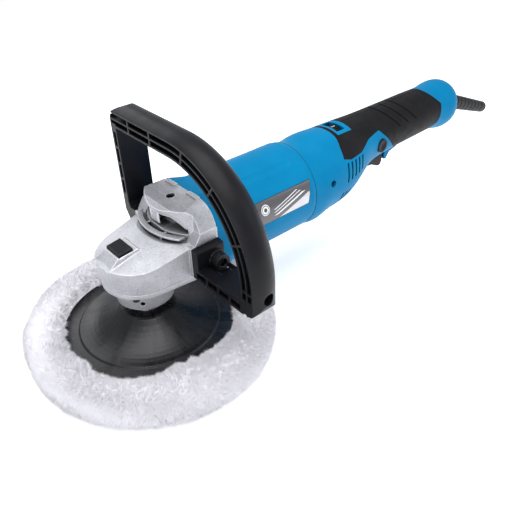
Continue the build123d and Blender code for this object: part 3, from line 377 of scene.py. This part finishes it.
def label_film():
    """Dark metallic print under a clear film."""
    g = Graph("label_film", Metallic=0.55, Coat_Weight=0.8, Coat_Roughness=0.12)
    flake = g.noise(5200, 2)
    body = g.mix(g.spread(flake, 0.35, 0.65), (0.075, 0.072, 0.080), (0.130, 0.125, 0.138))
    g.colour(body)
    g.rough(g.noise(120, 3), 0.30, 0.42)
    g.bumps([(g.noise(45, 2), 0.00002)], g.rounded(0.0003))
    return g.material


def print_ink(name, low, high, metallic, roughness):
    g = Graph(name, Metallic=metallic, Coat_Weight=0.6, Coat_Roughness=0.15)
    g.colour(g.mix(g.spread(g.noise(2600, 2), 0.35, 0.65), low, high))
    g.rough(g.noise(300, 3), roughness - 0.06, roughness + 0.08)
    g.bumps([(g.noise(3000, 1), 0.00001)])
    return g.material


def wool():
    # Painted light: the pile glows faintly by emission, standing in for light scattered through the fibres.
    g = Graph("wool_pile", Roughness=0.95, Sheen_Weight=0.30, Sheen_Roughness=0.6, Specular_IOR_Level=0.1,
              Emission_Color=(0.96, 0.95, 1.0, 1), Emission_Strength=0.17)
    tone = g.mix(g.spread(g.noise(45, 4, 0.6), 0.3, 0.7), (0.86, 0.85, 0.91), (0.95, 0.94, 0.985))
    fibre = g.spread(g.noise(1400, 2, 0.6), 0.35, 0.65, 0.0, 0.5)
    g.colour(g.mix(fibre, tone, (0.97, 0.965, 0.995)))
    g.bumps([(g.noise(700, 3), 0.0003)])
    return g.material


def cotton():
    g = Graph("braided_cotton", Roughness=0.9, Sheen_Weight=0.3)
    weave = g.cells(1500, g.stretched((1, 1, 0.5)))
    g.colour(g.mix(g.spread(weave, 0.0, 0.7), (0.80, 0.80, 0.78), (0.55, 0.55, 0.53)))
    g.bumps([(weave, 0.0003)])
    return g.material


def slot_materials():
    blue = ((0.000, 0.172, 0.362), (0.000, 0.196, 0.402), (0.000, 0.26, 0.48))
    black = ((0.0035, 0.0035, 0.0055), (0.0065, 0.0065, 0.009), (0.026, 0.026, 0.032))
    return {
        "cast_aluminium": cast_aluminium(),
        "blue_plastic": moulded_plastic("blue_plastic", *blue, 0.40, 2600, shine=0.07),
        "soft_grip": soft_grip(),
        "black_nylon": moulded_plastic("black_nylon", *black, 0.40, 1900, 0.0008, 0.00005, shine=0.22),
        "label_film": label_film(),
        "dark_steel": black_steel(),
        "bright_steel": turned_steel("turned_steel", (0.50, 0.50, 0.52), (0.66, 0.66, 0.68), 0.2, 0.36),
        "black_rubber": ribbed_rubber(),
        "iron_laminations": laminations(),
        "copper_wire": copper(),
        "brass": brass(),
        "carbon": carbon(),
        "wool": wool(),
        "cotton_cord": cotton(),
    }


def dress_nodes(materials):
    """Each CAD node takes the material of its slot in the record."""
    special = {"backing_pad": pad_rubber()}
    for entry in frame["record"]["subparts"]:
        node = frame["nodes"][entry["node"]]
        node.data.materials.clear()
        node.data.materials.append(special.get(entry["node"], materials[entry["material_slot"]]))


# ---- Meshes -------------------------------------------------------------------------------------
def add_piece(name, points, faces, material, body, smooth=True):
    mesh = bpy.data.meshes.new(name)
    mesh.from_pydata([tuple(p) for p in points], [], faces)
    mesh.validate()
    mesh.polygons.foreach_set("use_smooth", [smooth] * len(mesh.polygons))
    mesh.materials.append(material)
    piece = bpy.data.objects.new(name, mesh)
    bpy.context.scene.collection.objects.link(piece)
    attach(piece, body)
    return piece


def thicken(rows, inner_rows):
    """Points and faces of a closed slab between two grids of the same size."""
    tall, wide = len(rows), len(rows[0])
    points = [p for row in rows for p in row] + [p for row in inner_rows for p in row]
    back = tall * wide
    faces = []
    for i in range(tall - 1):
        for j in range(wide - 1):
            a, b, c, d = i * wide + j, i * wide + j + 1, (i + 1) * wide + j + 1, (i + 1) * wide + j
            faces += [(a, b, c, d), (back + d, back + c, back + b, back + a)]
    rim = list(range(wide)) + [i * wide + wide - 1 for i in range(1, tall)]
    rim += [(tall - 1) * wide + j for j in range(wide - 2, -1, -1)]
    rim += [i * wide for i in range(tall - 2, 0, -1)]
    for k, a in enumerate(rim):
        b = rim[(k + 1) % len(rim)]
        faces.append((b, a, back + a, back + b))
    return points, faces


def on_label(x, z, side, lift):
    """A point of the side label, with x and z in millimetres, lifted off the film."""
    height = z * MM - MOTOR_AXIS_Z
    radius = LABEL_RADIUS + lift * MM
    return Vector((x * MM, side * math.sqrt(radius ** 2 - height ** 2), z * MM))


def printed(name, rows, side, material, lift):
    """A thin closed print over a grid of (x, z) spots on one side's label."""
    outer = [[on_label(x, z, side, lift) for x, z in row] for row in rows]
    inner = [[on_label(x, z, side, PRINT_SUNK) for x, z in row] for row in rows]
    points, faces = thicken(outer, inner)
    if side > 0:
        faces = [tuple(reversed(f)) for f in faces]
    return add_piece(name, points, faces, material, "machine", smooth=False)


def label_shape(name, left, right, z_low, z_high, side, material, lift=0.06, steps=16):
    """A printed area between two edges, each a function of z that gives x."""
    levels = [z_low + (z_high - z_low) * i / steps for i in range(steps + 1)]
    rows = [[(left(z), z), (right(z), z)] for z in levels]
    return printed(name, rows, side, material, lift)


def label_ring(name, outer_r, inner_r, side, material, lift, steps=40):
    """A printed ring round the badge's middle."""
    x, z = BADGE_AT
    angles = [2 * math.pi * k / steps for k in range(steps + 1)]
    rows = [[(x + r * math.cos(a), z + r * math.sin(a)) for r in (inner_r, outer_r)] for a in angles]
    return printed(name, rows, side, material, lift)


def make_labels():
    """Silver corner, three slanted bars and a round badge on each side's label."""
    silver = print_ink("silver_ink", (0.52, 0.52, 0.55), (0.64, 0.64, 0.67), 0.6, 0.32)
    white = print_ink("white_ink", (0.78, 0.78, 0.80), (0.86, 0.86, 0.88), 0.0, 0.4)
    dark = print_ink("dark_ink", (0.05, 0.05, 0.055), (0.08, 0.08, 0.085), 0.2, 0.4)
    for side, word in ((-1, "right"), (1, "left")):
        label_shape(
            f"label_silver_{word}",
            lambda z: SILVER_START + (z - LABEL_LOW) * SILVER_SLOPE,
            lambda z: RIGHT_EDGE + (z - LABEL_LOW) * RIGHT_SLOPE,
            LABEL_LOW + 0.4, LABEL_LOW + 10.0, side, silver)
        for k, (low, high, thick) in enumerate(BARS):
            label_shape(
                f"label_bar_{word}_{k}",
                lambda z, z0=low: BAR_START + (z - z0) * BAR_SLOPE,
                lambda z, z0=low, t=thick: BAR_START + (z - z0) * BAR_SLOPE + t,
                low, high, side, white, PRINT_LIFT)
        label_ring(f"label_badge_{word}", 4.3, 0.01, side, white, PRINT_LIFT)
        label_ring(f"label_badge_line_{word}", 3.6, 3.1, side, dark, MARK_LIFT)
        label_ring(f"label_badge_dot_{word}", 1.6, 0.01, side, dark, MARK_LIFT)


def figure_mesh(figure):
    """A flat figure, a little thick, centred on the origin."""
    curve = bpy.data.curves.new(f"figure_{figure}", "FONT")
    curve.body, curve.size, curve.extrude = str(figure), 0.0056, 0.00008
    curve.align_x, curve.align_y = "CENTER", "CENTER"
    flat = bpy.data.objects.new(f"figure_{figure}", curve)
    mesh = bpy.data.meshes.new_from_object(flat)
    bpy.data.objects.remove(flat)
    return mesh


def dial_numbers(material, first_up=3, step=math.radians(40)):
    """Figures 1 to 6 printed round the thumbwheel's rim."""
    low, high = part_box("speed_dial")
    axis_z, radius, middle = (low.z + high.z) / 2, (high.z - low.z) / 2 + 0.00006, (low.x + high.x) / 2
    for figure in range(1, 7):
        mesh = figure_mesh(figure)
        turn = (figure - first_up) * step
        points = []
        for vertex in mesh.vertices:
            angle, reach = turn + vertex.co.x / radius, radius + vertex.co.z
            y, z = -reach * math.sin(angle), axis_z + reach * math.cos(angle)
            points.append((middle + vertex.co.y, y, z))
        faces = [tuple(face.vertices) for face in mesh.polygons]
        add_piece(f"dial_figure_{figure}", points, faces, material, "dial", smooth=False)


# ---- Wool bonnet --------------------------------------------------------------------------------
def waves(count, seed, low, high):
    """Random smooth function of (turn, around): a sum of cosines."""
    rng = np.random.default_rng(seed)
    turns = rng.integers(low, high, count) * rng.choice([-1, 1], count)
    arounds = rng.uniform(-1, 1, count) * high / 3
    phases = rng.uniform(0, 2 * np.pi, count)

    def value(turn, around):
        total = np.zeros_like(turn)
        for t, a, p in zip(turns, arounds, phases):
            total += np.cos(t * turn + a * around + p)
        return total / math.sqrt(count / 2)

    return value


# relief of the pile from coarse to fine, and the wandering edge of the opening
LUMPS = waves(14, 7, 3, 12)
TUFTS = waves(26, 11, 14, 46)
CURLS = waves(40, 31, 50, 130)
OPENING = waves(10, 23, 2, 9)


def pile_surface(turn, around, depth):
    """Point of the pile. around runs from 0 at the outer side over the top to pi at the opening."""
    c, s = np.cos(around), np.sin(around)
    power = 2 / PILE_SQUARENESS
    width, height = PILE_HALF_WIDTH - depth, PILE_HALF_HEIGHT - depth
    swell = 0.985 + 0.026 * LUMPS(turn, around) + 0.020 * TUFTS(turn, around)
    swell = swell + 0.020 * CURLS(turn, around)
    r = PILE_MIDDLE + width * swell * np.sign(c) * np.abs(c) ** power
    r = r - SLIM_SIDE * np.clip(c, 0, 1) * np.clip(-np.cos(turn - SLIM_SIDE_TURN), 0, 1) ** 2
    z = PILE_HALF_HEIGHT + height * np.where(s > 0, swell, 1) * np.sign(s) * np.abs(s) ** power
    inward = np.clip(-c, 0, 1)
    square = OPENING_SQUARE * np.cos(4 * (turn - OPENING_SQUARE_TURN))
    ragged = 0.0016 * OPENING(turn, 0 * turn) + 0.0011 * TUFTS(turn, 0 * turn)
    r = r + inward * (square + ragged - 0.001)
    return np.stack([r * np.cos(turn), r * np.sin(turn), np.maximum(z, OVER_FLOOR)], -1)


def pile_normal(turn, around, depth):
    """Unit normal of the pile surface, pointing away from the ring's middle."""
    step = 1e-3
    a = pile_surface(turn + step, around, depth) - pile_surface(turn - step, around, depth)
    b = pile_surface(turn, around + step, depth) - pile_surface(turn, around - step, depth)
    n = np.cross(a, b)
    n /= np.linalg.norm(n, axis=-1, keepdims=True) + 1e-12
    centre = np.stack([PILE_MIDDLE * np.cos(turn), PILE_MIDDLE * np.sin(turn),
                       np.full_like(turn, PILE_HALF_HEIGHT)], -1)
    out = np.sum(n * (pile_surface(turn, around, depth) - centre), -1, keepdims=True)
    return n * np.where(out < 0, -1, 1)


AROUND_LOW, AROUND_HIGH = -0.5 * math.pi, math.pi - 0.42  # from the floor to the opening's lip


def circle(turn, radius, height):
    return np.stack([radius * np.cos(turn), radius * np.sin(turn), np.full(len(turn), height)], -1)


def bonnet_skin(material, turns=480, steps=64):
    """The closed body under the pile: ring, flat underside, and the edge turned in over the pad."""
    turn = np.linspace(0, 2 * np.pi, turns, endpoint=False)
    around = np.linspace(AROUND_LOW, AROUND_HIGH, steps)
    grid = pile_surface(*np.meshgrid(turn, around, indexing="ij"), SKIN_DEPTH)
    pad_low, pad_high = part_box("backing_pad")
    gap, centre = 0.0004, 0.0004
    rim, under = pad_high.x + gap, pad_low.z - gap
    # over the pad's edge, down past its rim, and in under it
    pocket = ((rim - 0.020, 0.0262), (rim - 0.001, 0.0223), (rim, 0.0210), (rim, under), (centre, under))
    rings = [circle(turn, radius, OVER_FLOOR) for radius in (centre, 0.05)]
    rings += [grid[:, k] for k in range(steps)]
    rings += [circle(turn, radius, height) for radius, height in pocket]
    points = np.concatenate(rings)
    last = (len(rings) - 1) * turns
    faces = []
    for row in range(0, last, turns):
        for i in range(turns):
            j = (i + 1) % turns
            faces.append((row + i, row + j, row + turns + j, row + turns + i))
    faces += [tuple(reversed(range(turns))), tuple(last + i for i in range(turns))]
    skin = add_piece("wool_bonnet_skin", points, faces, material, "spindle")
    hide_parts("wool_bonnet")


def unit(v):
    return v / (np.linalg.norm(v, axis=-1, keepdims=True) + 1e-12)


def strand_roots(rng, count, widest=0.105):
    """Random places on the ring, denser per radian where the ring is larger."""
    turn = rng.uniform(0, 2 * np.pi, count * 2)
    around = rng.uniform(AROUND_LOW * 0.8, AROUND_HIGH, count * 2)
    size = np.linalg.norm(pile_surface(turn, around, SKIN_DEPTH)[:, :2], axis=-1)
    keep = rng.uniform(0, widest, count * 2) < size
    return turn[keep][:count], around[keep][:count]


def scramble(i, j, i_step, j_step):
    """A number from 0 to 1 for each whole-number cell, the same on every run."""
    mixed = np.sin(i * i_step + j * j_step + 3.0) * 43758.5453
    return mixed - np.floor(mixed)


def tuft_centres(turn, around):
    """Each root's tuft: the jittered middle of its cell in a grid over the ring."""
    i, j = np.floor(turn / TUFT_TURN), np.floor(around / TUFT_AROUND)
    pick, other = scramble(i, j, 127.1, 311.7), scramble(i, j, 269.5, 183.3)
    return (i + 0.2 + 0.6 * pick) * TUFT_TURN, (j + 0.2 + 0.6 * other) * TUFT_AROUND, pick


def pile_piece(number, material):
    """Tapered strands that lean out of the skin and gather in tufts."""
    rng = np.random.default_rng(100 + number)
    turn, around = strand_roots(rng, STRANDS_PER_PIECE)
    count = len(turn)
    root = pile_surface(turn, around, SKIN_DEPTH + 0.0006)
    normal = pile_normal(turn, around, SKIN_DEPTH)
    middle_turn, middle_around, pick = tuft_centres(turn, around)
    gather = pile_surface(middle_turn, middle_around, -0.001)
    around_tangent = unit(pile_surface(turn, around + 0.01, SKIN_DEPTH) - root)
    ring_tangent = unit(pile_surface(turn + 0.01, around, SKIN_DEPTH) - root)
    # share of the way from the crest to the opening, where tufts gather more
    inner = np.clip((around - 0.62 * math.pi) / (0.2 * math.pi), 0, 1)[:, None]
    length = PILE_LENGTH * rng.uniform(0.70, 1.10, count)[:, None] * (0.85 + 0.3 * pick[:, None])
    comb = 0.4 * np.sin(3 * turn + 2 * around)[:, None] * ring_tangent
    comb = comb + (0.3 * inner - 0.3 * np.cos(around)[:, None]) * around_tangent
    straight = unit(normal + comb + rng.normal(0, 0.22, (count, 3)))
    pull = (0.5 + 0.6 * inner) * rng.uniform(0.3, 1.2, count)[:, None]
    direction = unit(straight + unit(gather - root) * pull)
    tip = root + direction * length
    facing = unit(normal + rng.normal(0, 0.25, (count, 3)))
    across = unit(np.cross(direction, facing + 0.4 * around_tangent))
    half = STRAND_WIDTH * rng.uniform(0.35, 0.65, count)[:, None]
    corners = np.stack([root - across * half, root + across * half, tip], 1)
    corners[..., 2] = np.maximum(corners[..., 2], 0.0004)
    shading = unit(facing + 0.3 * direction + np.array([0, 0, 0.5]))
    return strand_mesh(f"wool_pile_{number}", corners, shading, material)


def strand_mesh(name, corners, facing, material):
    """One mesh of strands, each a long triangle shaded along the pile's own surface."""
    count = len(corners)
    mesh = bpy.data.meshes.new(name)
    mesh.vertices.add(count * 3)
    mesh.vertices.foreach_set("co", corners.astype(np.float32).ravel())
    mesh.loops.add(count * 3)
    mesh.loops.foreach_set("vertex_index", np.arange(count * 3, dtype=np.int32))
    mesh.polygons.add(count)
    mesh.polygons.foreach_set("loop_start", np.arange(count, dtype=np.int32) * 3)
    mesh.update(calc_edges=True)
    mesh.polygons.foreach_set("use_smooth", [True] * count)
    mesh.normals_split_custom_set_from_vertices(np.repeat(facing, 3, axis=0))
    mesh.materials.append(material)
    piece = bpy.data.objects.new(name, mesh)
    bpy.context.scene.collection.objects.link(piece)
    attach(piece, "spindle")
    return piece


def make_bonnet(material):
    bonnet_skin(material)
    for number in range(PILE_PIECES):
        pile_piece(number, material)


make_camera()
make_studio()
make_floor()
MATERIALS = slot_materials()
dress_nodes(MATERIALS)
make_labels()
dial_numbers(print_ink("figure_ink", (0.70, 0.70, 0.72), (0.78, 0.78, 0.80), 0.0, 0.45))
make_bonnet(MATERIALS["wool"])
